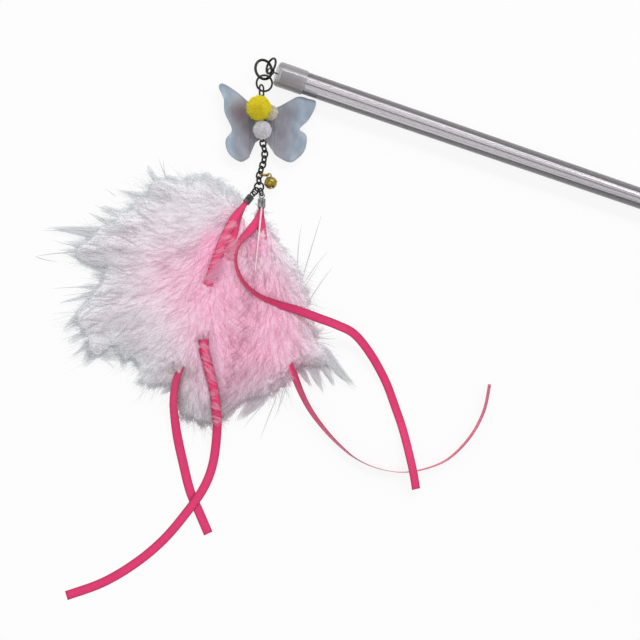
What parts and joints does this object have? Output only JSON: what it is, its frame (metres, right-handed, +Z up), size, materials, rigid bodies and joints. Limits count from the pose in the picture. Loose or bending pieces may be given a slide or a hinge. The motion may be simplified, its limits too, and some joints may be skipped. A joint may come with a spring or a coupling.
{
  "type": "cat teaser wand",
  "caption": "Clear plastic rod with end caps, ring string, fabric butterfly with pompoms, link chain with jingle bell, and feather and ribbon tassels.",
  "frame": {"origin": "under the middle of the box around everything but the four ribbons, on the floor that the wand lies on", "axes": "+X along the rod from its tip to its butt, +Z up from the floor; the string hangs towards -Y"},
  "size_m": [0.472, 0.2503, 0.0145],
  "materials": {
    "clear_tube": "clear, glossy",
    "cap": "milky, glossy",
    "cord": "twisted",
    "dark_wire": "black plated",
    "felt": "felt",
    "organza": "sheer, two layers",
    "yellow_pompom": "fluffy",
    "cream_pompom": "fluffy",
    "white_pompom": "fluffy",
    "bell_brass": "plated, satin",
    "steel_ball": "polished",
    "crimp_metal": "satin",
    "quill": "smooth",
    "marabou": "downy feather",
    "ribbon": "satin"
  },
  "bodies": {
    "wand": {"rod_tube": "clear_tube", "tip_cap": "cap", "butt_cap": "cap", "core_cord": "cord", "butt_knot": "cord"},
    "tip_swivel": {"tip_loop": "dark_wire", "tip_knot": "cord"},
    "link_ring": {"link_ring": "dark_wire"},
    "large_ring": {"large_ring": "dark_wire"},
    "small_ring": {"small_ring": "dark_wire"},
    "hanger": {"top_link": "dark_wire", "glued_links": "dark_wire", "felt_pad": "felt", "wing_centre": "organza", "yellow_pompom": "yellow_pompom", "cream_pompom": "cream_pompom", "white_pompom": "white_pompom"},
    "left_wing": {"left_wing": "organza"},
    "right_wing": {"right_wing": "organza"},
    "chain_link_1": {"chain_link_1": "dark_wire"},
    "chain_link_2": {"chain_link_2": "dark_wire"},
    "chain_link_3": {"chain_link_3": "dark_wire"},
    "chain_link_4": {"chain_link_4": "dark_wire"},
    "chain_link_5": {"chain_link_5": "dark_wire"},
    "chain_link_6": {"chain_link_6": "dark_wire"},
    "chain_link_7": {"chain_link_7": "dark_wire"},
    "chain_link_8": {"chain_link_8": "dark_wire"},
    "chain_link_9": {"chain_link_9": "dark_wire"},
    "fork_ring": {"fork_ring": "dark_wire"},
    "left_link": {"left_link": "dark_wire"},
    "right_link": {"right_link": "dark_wire"},
    "left_tassel": {"left_crimp": "crimp_metal", "left_quill": "quill", "left_plume": "marabou", "left_ribbon_a": "ribbon", "left_ribbon_b": "ribbon"},
    "right_tassel": {"right_crimp": "crimp_metal", "right_quill": "quill", "right_plume": "marabou", "right_ribbon_a": "ribbon", "right_ribbon_b": "ribbon"},
    "bell_ring": {"bell_ring": "bell_brass"},
    "bell": {"bell_upper": "bell_brass", "bell_lower": "bell_brass", "bell_loop": "bell_brass"},
    "bell_ball": {"bell_ball": "steel_ball"}
  },
  "joints": [
    {"name": "loop_turn", "type": "hinge", "parent": "wand", "child": "tip_swivel", "pos_m": [-0.16399, 0.07711, 0.0055], "axis": [1, 0, 0], "continuous": true},
    {"name": "link_ring_swing", "type": "hinge", "parent": "tip_swivel", "child": "link_ring", "pos_m": [-0.16679, 0.07676, 0.0055], "axis": [0, 0, -1], "range_deg": [0, 12]},
    {"name": "large_ring_swing", "type": "hinge", "parent": "link_ring", "child": "large_ring", "pos_m": [-0.16676, 0.0774, 0.003], "axis": [0, 0, -1], "range_deg": [0, 7]},
    {"name": "small_ring_swing", "type": "hinge", "parent": "large_ring", "child": "small_ring", "pos_m": [-0.16835, 0.07448, 0.0026], "axis": [0, 0, -1], "range_deg": [0, 7]},
    {"name": "hanger_swing", "type": "hinge", "parent": "small_ring", "child": "hanger", "pos_m": [-0.16783, 0.07027, 0.0019], "axis": [0, 0, -1], "range_deg": [0, 15]},
    {"name": "left_wing_flap", "type": "hinge", "parent": "hanger", "child": "left_wing", "pos_m": [-0.16968, 0.05381, 0.0038], "axis": [-0.2622, 0.965, 0], "range_deg": [0, 38]},
    {"name": "right_wing_flap", "type": "hinge", "parent": "hanger", "child": "right_wing", "pos_m": [-0.15926, 0.05664, 0.0038], "axis": [0.2622, -0.965, 0], "range_deg": [0, 33]},
    {"name": "link_1_swing", "type": "hinge", "parent": "hanger", "child": "chain_link_1", "pos_m": [-0.16259, 0.0496, 0.00147], "axis": [0, 0, -1], "range_deg": [-8, 8]},
    {"name": "link_2_lift", "type": "hinge", "parent": "chain_link_1", "child": "chain_link_2", "pos_m": [-0.16162, 0.04735, 0.00147], "axis": [-0.965, -0.2622, 0], "range_deg": [0, 10]},
    {"name": "link_3_swing", "type": "hinge", "parent": "chain_link_2", "child": "chain_link_3", "pos_m": [-0.16043, 0.04521, 0.00147], "axis": [0, 0, 1], "range_deg": [-8, 8]},
    {"name": "link_4_swing", "type": "hinge", "parent": "chain_link_3", "child": "chain_link_4", "pos_m": [-0.15931, 0.04303, 0.00147], "axis": [0, 0, -1], "range_deg": [-8, 8]},
    {"name": "link_5_lift", "type": "hinge", "parent": "chain_link_4", "child": "chain_link_5", "pos_m": [-0.15871, 0.04066, 0.00147], "axis": [-0.965, -0.2622, 0], "range_deg": [0, 10]},
    {"name": "link_6_swing", "type": "hinge", "parent": "chain_link_5", "child": "chain_link_6", "pos_m": [-0.15857, 0.03821, 0.00147], "axis": [0, 0, 1], "range_deg": [-8, 8]},
    {"name": "link_7_swing", "type": "hinge", "parent": "chain_link_6", "child": "chain_link_7", "pos_m": [-0.15869, 0.03576, 0.00147], "axis": [0, 0, -1], "range_deg": [-8, 8]},
    {"name": "link_8_lift", "type": "hinge", "parent": "chain_link_7", "child": "chain_link_8", "pos_m": [-0.1589, 0.03332, 0.00147], "axis": [-0.965, -0.2622, 0], "range_deg": [0, 10]},
    {"name": "link_9_swing", "type": "hinge", "parent": "chain_link_8", "child": "chain_link_9", "pos_m": [-0.1588, 0.03087, 0.00147], "axis": [0, 0, 1], "range_deg": [-8, 1]},
    {"name": "fork_swing", "type": "hinge", "parent": "chain_link_9", "child": "fork_ring", "pos_m": [-0.15808, 0.02854, 0.0015], "axis": [0, 0, -1], "range_deg": [-4, 8]},
    {"name": "left_link_swing", "type": "hinge", "parent": "fork_ring", "child": "left_link", "pos_m": [-0.15814, 0.02544, 0.0013], "axis": [0, 0, -1], "range_deg": [0, 10]},
    {"name": "left_tassel_swing", "type": "hinge", "parent": "left_link", "child": "left_tassel", "pos_m": [-0.15945, 0.02327, 0.0013], "axis": [0, 0, -1], "range_deg": [0, 12]},
    {"name": "right_link_swing", "type": "hinge", "parent": "fork_ring", "child": "right_link", "pos_m": [-0.15654, 0.02567, 0.0016], "axis": [0, 0, 1], "range_deg": [0, 8]},
    {"name": "right_tassel_swing", "type": "hinge", "parent": "right_link", "child": "right_tassel", "pos_m": [-0.15543, 0.02364, 0.0016], "axis": [0, 0, 1], "range_deg": [0, 10]},
    {"name": "bell_ring_tilt", "type": "hinge", "parent": "chain_link_8", "child": "bell_ring", "pos_m": [-0.15786, 0.03237, 0.0025], "axis": [0.2622, -0.965, 0], "range_deg": [0, 15]},
    {"name": "bell_swing", "type": "hinge", "parent": "bell_ring", "child": "bell", "pos_m": [-0.15516, 0.0331, 0.0031], "axis": [0, 0, 1], "range_deg": [0, 45]},
    {"name": "bell_ball_roll", "type": "slide", "parent": "bell", "child": "bell_ball", "axis": [-0.4879, 0.8729, 0], "range_m": [-0.0003, 0.0003]}
  ]
}
